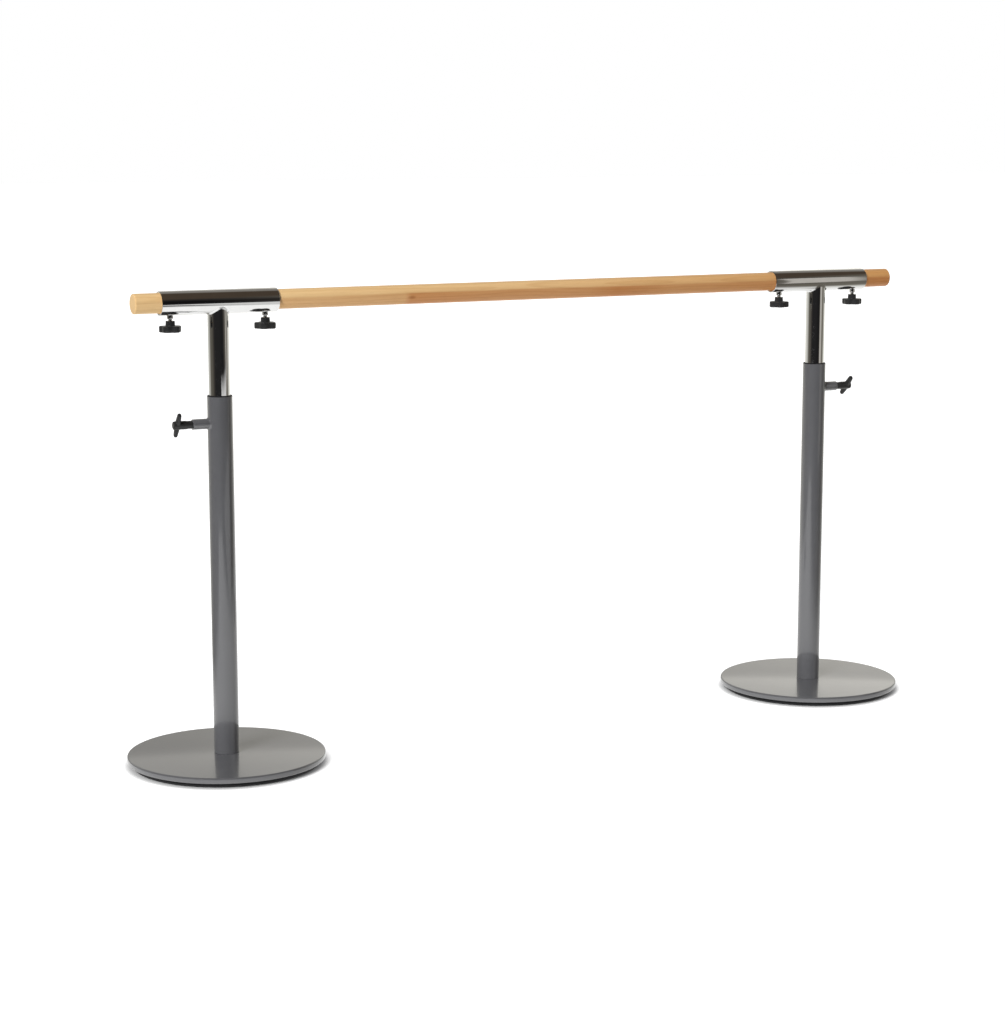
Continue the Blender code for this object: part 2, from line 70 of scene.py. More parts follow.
# Gap that parts keep where they touch
SEAT_GAP = 0.0003

# Barre, sleeves and posts
BARRE_END_ROUND = 0.0028
BARRE_CORE_SHARE = 0.15
SLEEVE_WALL = 0.0036
SLEEVE_EDGE = 0.0009
INNER_POST_WALL = 0.0020
INNER_POST_EDGE = 0.0006
OUTER_POST_WALL = 0.0029
OUTER_POST_EDGE = 0.0007
BUSH_EDGE = 0.0006
LOCK_BOSS_EDGE = 0.0012
CLAMP_BOSS_EDGE = 0.0009

# Base plate with its bolt's recess, and the foot ring with a groove between shares of its height
PLATE_TOP_ROUND = 0.0040
PLATE_BOTTOM_ROUND = 0.0020
BOLT_HOLE_SHARE = 0.5
RECESS_DEPTH = 0.0060
RECESS_CLEARANCE = 0.0015
RECESS_EDGE = 0.0004
RING_WIDTH = 0.0220
RING_EDGE = 0.0018
GROOVE_DEPTH = 0.0010
GROOVE_SHARES = (0.45, 0.50, 0.62, 0.67)

# Threads; FLANK is the slope of a turn's profile, and ROOT the level below which it is flat
CLAMP_PITCH = 0.0015
LOCK_PITCH = 0.00175
THREAD_DEPTH_SHARE = 0.55
THREAD_FLANK = 4.0
THREAD_ROOT = 0.35
THREAD_SAMPLES = 8
THREAD_CHAMFER = 0.0008

# Welds; root, bulge and ripple are shares of the leg
POST_WELD_LEG = 0.0030
CLAMP_WELD_LEG = 0.0014
LOCK_WELD_LEG = 0.0032
WELD_STEPS = 5
WELD_ROOT = 0.3
WELD_BULGE = 0.42
WELD_RIPPLE = 0.06
WELD_RIPPLE_SEGMENTS = 4
TANGENT_STEP = 0.01

# Both kinds of knob: brass insert, and the flat middle of an end as a share of its radius
SOCKET_CLEARANCE = 0.0003
INSERT_WALL = 0.0016
INSERT_DEPTH = 0.0040
INSERT_EDGE = 0.0003
KNOB_CORE_SHARE = 0.3

# Star knob
STAR_TURN = {"left_outer": 8.0, "left_inner": 22.0, "right_inner": 36.0, "right_outer": 57.0}
STAR_LOBES = 5
STAR_RADIUS = 0.0265
STAR_VALLEY = 0.0048
STAR_VALLEY_SHARPNESS = 1.5
STAR_THICKNESS = 0.0150
STAR_EDGE = 0.0026
STAR_HUB_DIAMETER = 0.0225
STAR_HUB_TOP_DIAMETER = 0.0212
STAR_HUB_EDGE = 0.0008
STAR_HUB_FILLET = 0.0014
STAR_HUB_FOOT = 3 * STAR_HUB_FILLET
STAR_CAP_DIAMETER = 0.0200
STAR_CAP_DEPTH = 0.0007
STAR_CAP_SHARES = (0.9, 0.8)
STAR_END_WALL = 0.0060

# Wing knob
WING_TURN = {"left": 32.0, "right": 43.0}
WING_HUB_DIAMETER = 0.0204
WING_HUB_LENGTH = 0.0340
WING_HUB_CROWN = 0.0034
WING_HUB_CHAMFER = 0.0012
WING_END_WALL = 0.0120
WING_NECK_DIAMETER = 0.0190
WING_NECK_CHAMFER = 0.0006
WING_NECK_GAP = 0.0006
WING_SPAN = 0.0690
WING_ROOT_WIDTH = 0.0170
WING_TIP_WIDTH = 0.0115
WING_ROOT_THICKNESS = 0.0120
WING_TIP_THICKNESS = 0.0080
WING_TIP_FLATTENING = 0.5
WING_TIP_END = 0.01
WING_SQUARENESS = 0.6
WING_SETBACK = 0.0110
WING_SEGMENTS = 32
WING_STATIONS = 24
WING_VOXEL = 0.0006
WING_RELAX = 0.5
WING_RELAX_STEPS = 8

# Wood, pale at the left end and deeper towards the right
WOOD_PALE = (0.73, 0.510, 0.255)
WOOD_MIDDLE = (0.68, 0.445, 0.215)
WOOD_DEEP = (0.56, 0.290, 0.105)
WOOD_HEART = (0.52, 0.270, 0.100)
WOOD_LATE = (0.66, 0.50, 0.34)
WOOD_FIBRE = (0.84, 0.73, 0.60)
WOOD_PORE = (0.60, 0.46, 0.34)

# Growth rings: how far their centre lies from the axis, wander, rings per metre, late wood's share
PITH_DISTANCE = (0.060, 0.110)
RING_WANDER = 0.030
RINGS_PER_METRE = 150.0
LATE_SHARE = 0.26

# Painted shade on the lower half, stronger at places along the barre, and a knot; places along the
# barre are shares of its length
LOWER_SHADE_TINT = (0.75, 0.53, 0.40)
LOWER_SHADE_START = -0.004
LOWER_SHADE_SHARPNESS = 260.0
LOWER_SHADE_WANDER = 0.30
LOWER_SHADE_ALONG = [(0.05, 0.0), (0.16, 0.40), (0.320, 0.45), (0.328, 1.0), (0.43, 0.80), (0.56, 0.75),
               (0.60, 1.0), (0.68, 0.60), (1.0, 0.65)]
KNOT_TINT = (0.62, 0.50, 0.36)
KNOT_SHARE = 0.329
KNOT_LENGTH = 0.0060
KNOT_DEPTH = 0.0060
KNOT_WIDTH = 0.0050

# Floor with contact shadow; mirrored, it is paper out to these distances and a room beyond
FLOOR_HALF = 60.0
FLOOR_DROP = 0.0002
FLOOR_TONE = (0.40, 0.40, 0.40)
FLOOR_GLOW = 0.93
CONTACT_REACH = 0.022
CONTACT_POWER = 1.8
CONTACT_SAMPLES = 8
PAPER_AHEAD = (4.6, 5.4)
PAPER_ASIDE = (1.0, 2.2)
PAPER_SLANT = 0.89
PAPER_LEFT = (1.6, 2.2)
PAPER_TONE = (1.0, 1.0, 0.99)

# Light: the world's even level, and two suns, each with the direction that it comes from
WHITE = (1.0, 1.0, 1.0)
WORLD_LEVEL = 0.12
KEY_FROM = (-0.70, -0.45, 0.55)
KEY_POWER = 4.4
BOUNCE_FROM = (0.0, -0.12, -0.99)
BOUNCE_POWER = 2.3
LIGHT_ANGLE = math.radians(24.0)

# Mirrored room, from the wall behind the object at 0 to the side that FRONT points to at 1
FRONT = (-0.375, -0.927, 0.0)
ROOM_TONES = [(0.0, (1.0, 0.975, 0.90)), (0.07, (0.95, 0.93, 0.86)), (0.14, (0.64, 0.635, 0.59)),
              (0.32, (0.46, 0.455, 0.42)), (0.39, (0.30, 0.29, 0.26)), (0.47, (0.12, 0.112, 0.094)),
              (0.62, (0.105, 0.096, 0.080)), (0.72, (0.080, 0.073, 0.062)),
              (0.80, (0.040, 0.036, 0.032)), (0.88, (0.018, 0.0175, 0.018))]
ROOM_ASIDE = [(0.35, 1.0), (0.52, 0.76), (0.65, 0.76), (0.80, 1.30)]
CEILING_START = [(0.42, 0.0), (0.66, 1.0)]
CEILING_TONES = [(0.28, (0.24, 0.225, 0.205)), (0.39, (0.062, 0.046, 0.033))]

# Dimming of the mirrored world towards the horizon, tilted a little, for the plates' tops
BAND_SLOPE = 0.11
BAND_TONES = [(0.25, 0.47), (0.282, 0.56), (0.312, 0.90), (0.40, 0.92), (0.50, 1.0)]

# Mirrored cards: start, end, lower edge, top at both ends; each dims over its fade below the top
SIDE_CARD = ((4.2, -1.735), (1.4, -1.735), 0.45, (2.05, 2.05))
SIDE_TONES = [(0.0, (0.17, 0.158, 0.132)), (0.50, (0.20, 0.187, 0.160)), (0.62, (0.48, 0.455, 0.420)),
              (0.90, (0.48, 0.455, 0.420)), (0.93, (0.15, 0.138, 0.118)), (1.0, (0.06, 0.054, 0.045))]
SIDE_FADE = 0.001
LOW_CARD = ((0.35, -0.9), (-1.055, -6.45), 0.0, (0.80, 0.0))
LOW_TONES = [(0.0, (0.66, 0.655, 0.645)), (1.0, (0.64, 0.64, 0.635))]
LOW_FADE = 0.10
CARD_TOP_GLOW = 0.05


def middle(node):
    """Middle of a CAD node's box."""
    low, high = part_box(node)
    return (low + high) / 2


def extent(node):
    """Size of a CAD node's box."""
    low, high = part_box(node)
    return high - low


# Geometry


def turns(count):
    """Angles of a full turn in equal steps."""
    return [2 * math.pi * i / count for i in range(count)]


def ring(radius, height, segments):
    """Points of a level circle round the local Z axis."""
    step = 2 * math.pi / segments
    return [Vector((radius * math.cos(i * step), radius * math.sin(i * step), height))
            for i in range(segments)]


def loft(rings, closed=False):
    """Closed mesh through rings of equal count; an open loft has end caps."""
    mesh = bmesh.new()
    loops = [[mesh.verts.new(point) for point in points] for points in rings]
    pairs = list(zip(loops, loops[1:]))
    if closed:
        pairs.append((loops[-1], loops[0]))
    else:
        mesh.faces.new(loops[0])
        mesh.faces.new(loops[-1])
    for low, high in pairs:
        for i, vertex in enumerate(low):
            j = (i + 1) % len(low)
            mesh.faces.new((vertex, low[j], high[j], high[i]))
    bmesh.ops.recalc_face_normals(mesh, faces=mesh.faces)
    return mesh


def rounded(corners, loop=True):
    """Profile through (radius, height, rounding) corners, with an arc at each rounding."""
    points = []
    count = len(corners)
    for i, (radius, height, rounding) in enumerate(corners):
        corner = Vector((radius, height))
        if rounding == 0 or (not loop and i in (0, count - 1)):
            points.append(tuple(corner))
            continue
        back = (Vector(corners[i - 1][:2]) - corner).normalized()
        ahead = (Vector(corners[(i + 1) % count][:2]) - corner).normalized()
        half = back.angle(ahead) / 2
        center = corner + (back + ahead).normalized() * rounding / math.sin(half)
        start = corner + back * rounding / math.tan(half) - center
        end = corner + ahead * rounding / math.tan(half) - center
        sweep = math.pi - 2 * half
        for step in range(ARC_STEPS + 1):
            share = step / ARC_STEPS
            point = start * math.sin((1 - share) * sweep) + end * math.sin(share * sweep)
            points.append(tuple(center + point / math.sin(sweep)))
    return points


def turned(corners, segments, closed=True):
    """Piece turned about the local Z axis from (radius, height, rounding) corners."""
    return loft([ring(r, z, segments) for r, z in rounded(corners, closed)], closed)


def rod(radius, low, high, segments):
    """Plain round rod along the local Z axis."""
    return loft([ring(radius, low, segments), ring(radius, high, segments)])


def threaded_rod(radius, pitch, length, segments):
    """Rod up the local Z axis with a helical thread and chamfered ends."""
    depth = THREAD_DEPTH_SHARE * pitch
    count = round(length / pitch * THREAD_SAMPLES)
    rings = []
    for k in range(count + 1):
        height = length * k / count
        to_end = min(height, length - height)
        chamfer = max(THREAD_CHAMFER - to_end, 0.0)
        points = []
        for angle in turns(segments):
            wave = (height / pitch - angle / (2 * math.pi)) % 1.0
            crest = min(max(THREAD_FLANK * abs(wave - 0.5) - THREAD_ROOT, 0.0), 1.0)
            r = min(radius - depth * (1 - crest), radius - chamfer)
            points.append(Vector((r * math.cos(angle), r * math.sin(angle), height)))
        rings.append(points)
    return loft(rings)


def saddle(radius, main_radius, angle):
    """Point where a round branch below the local X axis meets a round tube along it."""
    side = radius * math.sin(angle)
    drop = math.sqrt(main_radius ** 2 - side ** 2)
    return Vector((radius * math.cos(angle), side, -drop))


def coped_tube(radius, bore, end, main_radius, edge, segments):
    """Tube hanging from the tube along the local X axis, its top cut to fit round it."""
    corners = [(bore, 0, 0), (bore, end, edge / 2), (radius, end, edge), (radius, 0, 0)]
    rings = [ring(r, z, segments) for r, z in rounded(corners, False)[1:-1]]
    rings.append([saddle(radius, main_radius, angle) for angle in turns(segments)])
    rings.append([saddle(bore, main_radius, angle) for angle in turns(segments)])
    return loft(rings, closed=True)


def weld_bead(radius, main_radius, leg, segments):
    """Fillet weld along the line where a round branch meets the tube along local X."""
    rings = []
    for angle in turns(segments):
        point = saddle(radius, main_radius, angle)
        tangent = (saddle(radius, main_radius, angle + TANGENT_STEP) - point).normalized()
        outward = Vector((math.cos(angle), math.sin(angle), 0))
        main_normal = Vector((0, point.y, point.z)).normalized()
        along_main = tangent.cross(main_normal)
        if along_main.dot(outward) < 0:
            along_main.negate()
        along_branch = outward.cross(tangent)
        if along_branch.z > 0:
            along_branch.negate()
        size = leg * (1 + WELD_RIPPLE * math.sin(angle * segments / WELD_RIPPLE_SEGMENTS))
        root = point - WELD_ROOT * leg * (along_main + along_branch).normalized()
        low = point + size * along_branch
        high = point + size * along_main
        bulge = point + WELD_BULGE * size * (along_main + along_branch)
        section = [root]
        for step in range(WELD_STEPS + 1):
            share = step / WELD_STEPS
            section.append((1 - share) ** 2 * low + 2 * share * (1 - share) * bulge + share ** 2 * high)
        rings.append(section)
    return loft(rings, closed=True)


def star_outline(height, inset):
    """Outline of the star knob's lobes, drawn in by an inset."""
    points = []
    for angle in turns(STAR_SEGMENTS):
        valley = (0.5 - 0.5 * math.cos(STAR_LOBES * angle)) ** STAR_VALLEY_SHARPNESS
        star = STAR_RADIUS - STAR_VALLEY * valley - inset
        points.append(Vector((star * math.cos(angle), star * math.sin(angle), height)))
    return points


def star_knob():
    """Star knob below the origin, its hub up, with a blind socket and a capped end."""
    bottom = -extent("left_outer_clamp_knob").z
    head_top = bottom + STAR_THICKNESS
    socket = extent("left_outer_clamp_pad").x / 2 + SOCKET_CLEARANCE
    insert = socket + INSERT_WALL + SOCKET_CLEARANCE
    hub, hub_top = STAR_HUB_DIAMETER / 2, STAR_HUB_TOP_DIAMETER / 2
    neck = [(socket, bottom + STAR_END_WALL, 0), (socket, -INSERT_DEPTH, 0), (insert, -INSERT_DEPTH, 0),
            (insert, 0, 0), (hub_top, 0, STAR_HUB_EDGE), (hub, head_top, STAR_HUB_FILLET),
            (hub + STAR_HUB_FOOT, head_top, 0)]
    rings = [ring(r, z, STAR_SEGMENTS) for r, z in rounded(neck, False)]
    quarter = [math.pi / 2 * step / ARC_STEPS for step in range(ARC_STEPS + 1)]
    for turn in quarter:
        height = head_top - STAR_EDGE * (1 - math.cos(turn))
        rings.append(star_outline(height, STAR_EDGE * (1 - math.sin(turn))))
    for turn in quarter:
        height = bottom + STAR_EDGE * (1 - math.sin(turn))
        rings.append(star_outline(height, STAR_EDGE * (1 - math.cos(turn))))
    cap = STAR_CAP_DIAMETER / 2
    recess = bottom + STAR_CAP_DEPTH
    outer, inner = (share * cap for share in STAR_CAP_SHARES)
    face = [(cap + STAR_CAP_DEPTH, bottom), (cap, recess), (outer, recess), (inner, bottom),
            (KNOB_CORE_SHARE * cap, bottom)]
    rings += [ring(r, z, STAR_SEGMENTS) for r, z in face]
    return loft(rings)


def wing_section(station):
    """Rounded section of the wings at a distance along their span."""
    half_span = WING_SPAN / 2
    share = abs(station) / half_span
    width = WING_ROOT_WIDTH + (WING_TIP_WIDTH - WING_ROOT_WIDTH) * share
    thickness = WING_ROOT_THICKNESS + (WING_TIP_THICKNESS - WING_ROOT_THICKNESS) * share
    round_start = half_span - WING_TIP_WIDTH / 2
    if abs(station) > round_start:
        depth = (abs(station) - round_start) / (half_span - round_start)
        narrowing = math.sqrt(max(1 - depth ** 2, WING_TIP_END))
        width *= narrowing
        thickness *= 1 - WING_TIP_FLATTENING + WING_TIP_FLATTENING * narrowing
    points = []
    for angle in turns(WING_SEGMENTS):
        across, up = math.cos(angle), math.sin(angle)
        points.append(Vector((station,
                              0.5 * width * math.copysign(abs(across) ** WING_SQUARENESS, across),
                              0.5 * thickness * math.copysign(abs(up) ** WING_SQUARENESS, up))))
    return points


def wing_hub(neck):
    """Hub of the wing knob, with a narrower neck below it."""
    radius, neck_radius = WING_HUB_DIAMETER / 2, WING_NECK_DIAMETER / 2
    core = KNOB_CORE_SHARE * radius
    corners = [(core, -neck, 0), (neck_radius, -neck, WING_NECK_CHAMFER), (neck_radius, 0, 0),
               (radius, 0, WING_HUB_CHAMFER), (radius, WING_HUB_LENGTH, WING_HUB_CROWN),
               (core, WING_HUB_LENGTH, 0)]
    return turned(corners, BOSS_SEGMENTS, closed=False)


def wings():
    """Both wings in one, along the local X axis, at their height on the hub."""
    half_span = WING_SPAN / 2
    stations = [-half_span * math.cos(math.pi * k / WING_STATIONS) for k in range(WING_STATIONS + 1)]
    mesh = loft([wing_section(station) for station in stations])
    bmesh.ops.translate(mesh, vec=(0, 0, WING_HUB_LENGTH - WING_SETBACK), verts=mesh.verts)
    return mesh


# Node trees


class Nodes:
    """Node tree with short calls for the nodes that the finishes and the studio share."""

    def __init__(self, tree):
        self.tree = tree

    def node(self, kind, **values):
        made = self.tree.nodes.new(kind)
        for key, value in values.items():
            setattr(made, key, value)
        return made

    def link(self, source, target):
        self.tree.links.new(source, target)

    def set(self, socket, value):
        """Wire a socket to another, or give it a plain value."""
        if isinstance(value, bpy.types.NodeSocket):
            self.link(value, socket)
        elif isinstance(value, tuple) and socket.type == "RGBA":
            socket.default_value = (*value, 1)
        else:
            socket.default_value = value

    def math(self, operation, first, second=0.0):
        made = self.node("ShaderNodeMath", operation=operation)
        self.set(made.inputs[0], first)
        self.set(made.inputs[1], second)
        return made.outputs["Value"]

    def square(self, value):
        return self.math("MULTIPLY", value, value)

    def vector(self, operation, first, second=(0.0, 0.0, 0.0)):
        made = self.node("ShaderNodeVectorMath", operation=operation)
        self.set(made.inputs[0], first)
        self.set(made.inputs[1], second)
        return made.outputs["Value" if operation in ("LENGTH", "DOT_PRODUCT") else "Vector"]

    def separate(self, vector):
        made = self.node("ShaderNodeSeparateXYZ")
        self.link(vector, made.inputs["Vector"])
        return made.outputs["X"], made.outputs["Y"], made.outputs["Z"]

    def ramp(self, source, stops):
        """Colours, or grey values, over a value from 0 to 1."""
        made = self.node("ShaderNodeValToRGB")
        elements = made.color_ramp.elements
        while len(elements) < len(stops):
            elements.new(0.5)
        for element, (position, value) in zip(elements, stops):
            element.position = position
            element.color = (*value, 1) if isinstance(value, tuple) else (value, value, value, 1)
        self.link(source, made.inputs["Fac"])
        return made.outputs["Color"]

    def mix(self, factor, first, second, blend="MIX"):
        """Mix of two colours, which are the node's inputs 6 and 7 and its output 2."""
        made = self.node("ShaderNodeMix", data_type="RGBA", blend_type=blend)
        sockets = made.inputs[0], made.inputs[6], made.inputs[7]
        for socket, value in zip(sockets, (factor, first, second)):
            self.set(socket, value)
        return made.outputs[2]


# Materials


class Shader(Nodes):
    """A finish: a principled shader whose maps lie in the piece's own coordinates."""

    def __init__(self, name):
        self.material = bpy.data.materials.new(name)
        self.material.use_nodes = True
        super().__init__(self.material.node_tree)
        self.main = self.tree.nodes["Principled BSDF"]
        self.place = self.node("ShaderNodeTexCoord").outputs["Object"]

    def noise(self, scale, detail=4.0, roughness=0.55, distortion=0.0, offset=(0, 0, 0)):
        """Noise of one value, with its scale in cells per metre along each axis."""
        scaled = self.node("ShaderNodeMapping")
        scaled.inputs["Scale"].default_value = scale
        scaled.inputs["Location"].default_value = offset
        self.link(self.place, scaled.inputs["Vector"])
        made = self.node("ShaderNodeTexNoise")
        made.inputs["Scale"].default_value = 1.0
        made.inputs["Detail"].default_value = detail
        made.inputs["Roughness"].default_value = roughness
        made.inputs["Distortion"].default_value = distortion
        self.link(scaled.outputs["Vector"], made.inputs["Vector"])
        return made.outputs["Fac"]

    def bump(self, height, distance, strength):
        made = self.node("ShaderNodeBump")
        made.inputs["Strength"].default_value = strength
        made.inputs["Distance"].default_value = distance
        self.link(height, made.inputs["Height"])
        return made.outputs["Normal"]

    def finish(self, color, roughness, normal, **values):
        """Wire the maps to the shader; what is the same all over is set on its sockets."""
        self.link(color, self.main.inputs["Base Color"])
        self.link(roughness, self.main.inputs["Roughness"])
        self.link(normal, self.main.inputs["Normal"])
        for name, value in values.items():
            self.main.inputs[name.replace("_", " ")].default_value = value
        return self.material


def make_wood():
    """Lacquered ash: growth rings, pores, a knot, and painted shade on its lower half."""
    s = Shader("wood")
    x, y, z = s.separate(s.place)
    along = s.math("ADD", s.math("DIVIDE", z, extent("barre").x), 0.50)
    drift = s.noise((5.0, 5.0, 1.1), 2.0)
    wander = s.math("MULTIPLY", s.math("SUBTRACT", drift, 0.5), RING_WANDER)
    across = s.math("ADD", s.math("ADD", x, PITH_DISTANCE[0]), wander)
    up = s.math("ADD", s.math("ADD", y, PITH_DISTANCE[1]), wander)
    distance = s.math("SQRT", s.math("ADD", s.square(across), s.square(up)))
    growth = s.math("FRACT", s.math("MULTIPLY", distance, RINGS_PER_METRE))
    late = s.ramp(growth, [(0.0, 0.10), (0.55, 0.0), (0.86, 0.85), (0.97, 1.0), (1.0, 0.10)])
    streaks = s.noise((420.0, 420.0, 9.0), 5.0, 0.6)
    pores = s.noise((1500.0, 1500.0, 45.0), 3.0, 0.6)
    patches = s.noise((16.0, 16.0, 2.2), 3.0, 0.5, offset=(3.1, 1.7, 0.4))
    base = s.ramp(along, [(0.03, WOOD_PALE), (0.50, WOOD_MIDDLE), (0.97, WOOD_DEEP)])
    warm = s.mix(s.ramp(patches, [(0.40, 0.0), (0.70, 0.30)]), base, WOOD_HEART)
    # Painted shade: the lower half of the barre is darkened, by an amount that changes along its length
    depth = s.math("ADD", s.math("SUBTRACT", x, LOWER_SHADE_START), s.math("MULTIPLY", wander, LOWER_SHADE_WANDER))
    edge = s.math("ADD", s.math("MULTIPLY", depth, LOWER_SHADE_SHARPNESS), 0.5)
    lower = s.ramp(edge, [(0.0, 0.0), (1.0, 1.0)])
    lower_shade = s.math("MULTIPLY", lower, s.ramp(along, LOWER_SHADE_ALONG))
    shaded = s.mix(lower_shade, warm, LOWER_SHADE_TINT, "MULTIPLY")
    knot_along = s.math("DIVIDE", s.math("SUBTRACT", along, KNOT_SHARE), KNOT_LENGTH)
    knot_across = s.math("DIVIDE", s.math("SUBTRACT", x, KNOT_DEPTH), KNOT_WIDTH)
    knot = s.math("ADD", s.square(knot_along), s.square(knot_across))
    marked = s.mix(s.ramp(knot, [(0.0, 0.75), (1.0, 0.0)]), shaded, KNOT_TINT, "MULTIPLY")
    grained = s.mix(s.math("MULTIPLY", late, LATE_SHARE), marked, WOOD_LATE, "MULTIPLY")
    fibred = s.mix(s.ramp(streaks, [(0.35, 0.30), (0.62, 0.0)]), grained, WOOD_FIBRE, "MULTIPLY")
    pored = s.mix(s.ramp(pores, [(0.28, 0.40), (0.40, 0.0)]), fibred, WOOD_PORE, "MULTIPLY")
    rough = s.ramp(streaks, [(0.3, 0.52), (0.7, 0.42)])
    normal = s.bump(pores, 0.00006, 0.5)
    return s.finish(pored, rough, normal, Coat_Weight=0.12, Coat_Roughness=0.20, IOR=1.45)


def make_chrome():
    """Bright chrome plate with faint wiping marks and a slight waviness."""
    s = Shader("chrome")
    smudge = s.noise((34.0, 34.0, 22.0), 5.0, 0.6, 0.6)
    wipes = s.noise((240.0, 240.0, 14.0), 4.0, 0.6)
    color = s.ramp(smudge, [(0.35, (0.84, 0.84, 0.835)), (0.65, (0.90, 0.90, 0.90))])
    dulled = s.ramp(smudge, [(0.45, 0.035), (0.75, 0.10)])
    rough = s.math("ADD", dulled, s.ramp(wipes, [(0.5, 0.0), (0.8, 0.05)]))
    waves = s.noise((9.0, 9.0, 6.0), 1.0)
    return s.finish(color, rough, s.bump(waves, 0.0010, 0.25), Metallic=1.0)


def make_paint():
    """Charcoal powder coat under a clear coat, with the fine unevenness of such a coat."""
    s = Shader("paint")
    cloud = s.noise((14.0, 14.0, 14.0), 3.0)
    grain = s.noise((2600.0, 2600.0, 2600.0), 2.0, 0.5)
    peel = s.noise((620.0, 620.0, 620.0), 2.0, 0.5)
    tone = s.ramp(cloud, [(0.30, (0.086, 0.0865, 0.092)), (0.70, (0.093, 0.0935, 0.099))])
    color = s.mix(s.ramp(grain, [(0.38, 0.0), (0.62, 0.12)]), tone, (0.118, 0.119, 0.127))
    rough = s.ramp(cloud, [(0.3, 0.285), (0.7, 0.315)])
    normal = s.bump(peel, 0.00002, 0.10)
    return s.finish(color, rough, normal, IOR=1.6, Coat_Weight=1.0, Coat_Roughness=0.08, Coat_IOR=1.6)


def make_plastic():
    """Black moulded plastic, satin, with a fine spark-eroded texture."""
    s = Shader("plastic")
    cloud = s.noise((90.0, 90.0, 90.0), 3.0)
    grain = s.noise((3800.0, 3800.0, 3800.0), 3.0, 0.6)
    color = s.ramp(cloud, [(0.3, (0.0150, 0.0150, 0.0155)), (0.7, (0.0230, 0.0230, 0.0235))])
    rough = s.ramp(grain, [(0.3, 0.30), (0.7, 0.46)])
    return s.finish(color, rough, s.bump(grain, 0.00004, 0.4), IOR=1.5)


def make_nylon():
    """Black nylon, turned, with a slight cloudiness."""
    s = Shader("nylon")
    cloud = s.noise((120.0, 120.0, 60.0), 3.0)
    color = s.ramp(cloud, [(0.3, (0.012, 0.012, 0.013)), (0.7, (0.019, 0.019, 0.020))])
    rough = s.ramp(cloud, [(0.3, 0.42), (0.7, 0.55)])
    return s.finish(color, rough, s.bump(cloud, 0.00005, 0.4))


def make_rubber():
    """Black rubber, dull, with dust in its fine texture."""
    s = Shader("rubber")
    cloud = s.noise((60.0, 60.0, 60.0), 4.0)
    grain = s.noise((1800.0, 1800.0, 1800.0), 3.0)
    color = s.ramp(cloud, [(0.35, (0.010, 0.010, 0.011)), (0.70, (0.024, 0.024, 0.025))])
    rough = s.ramp(cloud, [(0.3, 0.68), (0.7, 0.85)])
    return s.finish(color, rough, s.bump(grain, 0.00008, 0.5))


def make_steel():
    """Zinc-plated steel with a mottled passivation."""
    s = Shader("steel")
    spangle = s.noise((310.0, 310.0, 310.0), 4.0, 0.6)
    color = s.ramp(spangle, [(0.3, (0.40, 0.40, 0.39)), (0.7, (0.58, 0.58, 0.57))])
    rough = s.ramp(spangle, [(0.3, 0.26), (0.7, 0.42)])
    return s.finish(color, rough, s.bump(spangle, 0.00003, 0.4), Metallic=1.0)


def make_brass():
    """Turned brass, its tool marks across the local Z axis."""
    s = Shader("brass")
    marks = s.noise((60.0, 60.0, 5200.0), 2.0)
    tarnish = s.noise((180.0, 180.0, 180.0), 4.0)
    color = s.ramp(tarnish, [(0.35, (0.42, 0.27, 0.09)), (0.70, (0.68, 0.47, 0.18))])
    rough = s.ramp(marks, [(0.3, 0.22), (0.7, 0.38)])
    return s.finish(color, rough, s.bump(marks, 0.00002, 0.4), Metallic=1.0)


FINISHES = {
    "wood": make_wood(),
    "chrome": make_chrome(),
    "paint": make_paint(),
    "plastic": make_plastic(),
    "nylon": make_nylon(),
    "rubber": make_rubber(),
    "steel": make_steel(),
    "brass": make_brass(),
}


# Pieces


def make_object(name, mesh, place=(0, 0, 0), turn=None):
    """Link an object made of a bmesh to the scene."""
    data = bpy.data.meshes.new(name)
    mesh.to_mesh(data)
    mesh.free()
    item = bpy.data.objects.new(name, data)
    bpy.context.scene.collection.objects.link(item)
    item.matrix_world = Matrix.Translation(place) @ (turn.to_4x4() if turn else Matrix.Identity(4))
    return item


def smooth(item):
    """Shade smooth, but for edges sharper than the limit."""
    item.data.shade_smooth()
    item.data.set_sharp_from_angle(angle=SHARP_ANGLE)


def piece(name, mesh, finish, body, place, turn=None, replaces=()):
    """Make an object of a bmesh, dress it, and hang it on its body."""
    item = make_object(name, mesh, place, turn)
    item.data.materials.append(FINISHES[finish])
    smooth(item)
    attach(item, body)
    if replaces:
        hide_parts(*replaces)
    return item


def apply_modifiers(item):
    """Keep the mesh that an object's modifiers make, and drop the modifiers."""
    bpy.context.view_layer.update()
    depsgraph = bpy.context.evaluated_depsgraph_get()
    result = bpy.data.meshes.new_from_object(item.evaluated_get(depsgraph))
    item.modifiers.clear()
    item.data = result
    smooth(item)


def cut(item, mesh, place, turn=None):
    """Cut a bmesh from a piece; its place and turn are in the frame."""
    cutter = make_object("cutter", mesh, place, turn)
    modifier = item.modifiers.new("cut", "BOOLEAN")
    modifier.object = cutter
    modifier.operation = "DIFFERENCE"
    modifier.solver = "EXACT"
    own = item.data.materials[0]
    apply_modifiers(item)
    item.data.materials.clear()
    item.data.materials.append(own)
    for face in item.data.polygons:
        face.material_index = 0
    bpy.data.objects.remove(cutter, do_unlink=True)


# Sub-parts


def along_x(direction):
    """Turn that lays the local Z axis along +X or -X."""
    return Matrix.Rotation(direction * math.pi / 2, 3, "Y")


def upright_size(node):
    """Foot on the node's axis, radius and height of a node that stands upright."""
    low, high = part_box(node)
    return Vector((middle(node).x, 0, low.z)), (high.x - low.x) / 2, high.z - low.z


def make_barre():
    """Round rail with rounded end edges."""
    size = extent("barre")
    half, radius = size.x / 2, size.z / 2
    core = BARRE_CORE_SHARE * radius
    corners = [(core, -half, 0), (radius, -half, BARRE_END_ROUND), (radius, half, BARRE_END_ROUND),
               (core, half, 0)]
    mesh = turned(corners, TUBE_SEGMENTS, closed=False)
    piece("wood_barre", mesh, "wood", "barre", middle("barre"), along_x(1), ["barre"])


